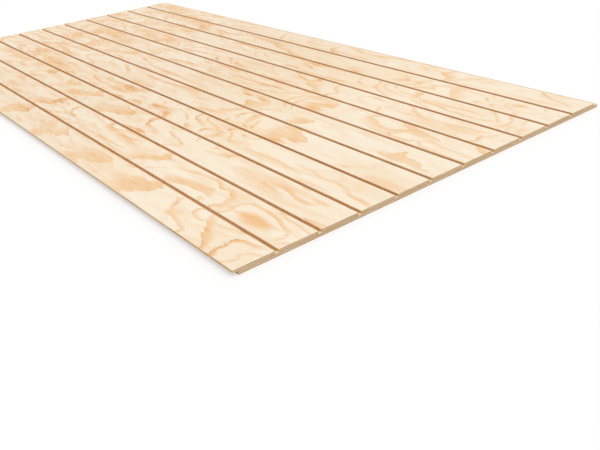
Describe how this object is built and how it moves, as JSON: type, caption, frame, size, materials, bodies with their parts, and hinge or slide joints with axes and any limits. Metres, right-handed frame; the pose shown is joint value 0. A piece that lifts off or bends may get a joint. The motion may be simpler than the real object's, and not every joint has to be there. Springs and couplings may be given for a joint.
{
  "type": "plywood sheet",
  "caption": "Rectangular pine plywood siding sheet with parallel grooves milled in its face, a shiplap lip along one long edge and a tongue along the other.",
  "frame": {"origin": "middle of the underside of the sheet, at the middle of its overall width and length", "axes": "+Z out of the grooved face, +Y along the sheet and its grooves, +X across the sheet from the lip to the tongue"},
  "size_m": [1.2288, 2.4384, 0.0151],
  "materials": {
    "pine_plywood": "unfinished, lightly sanded rotary-cut softwood veneer, with sawn edges and milled grooves"
  },
  "bodies": {
    "root": {"plywood_sheet": "pine_plywood"}
  },
  "joints": []
}
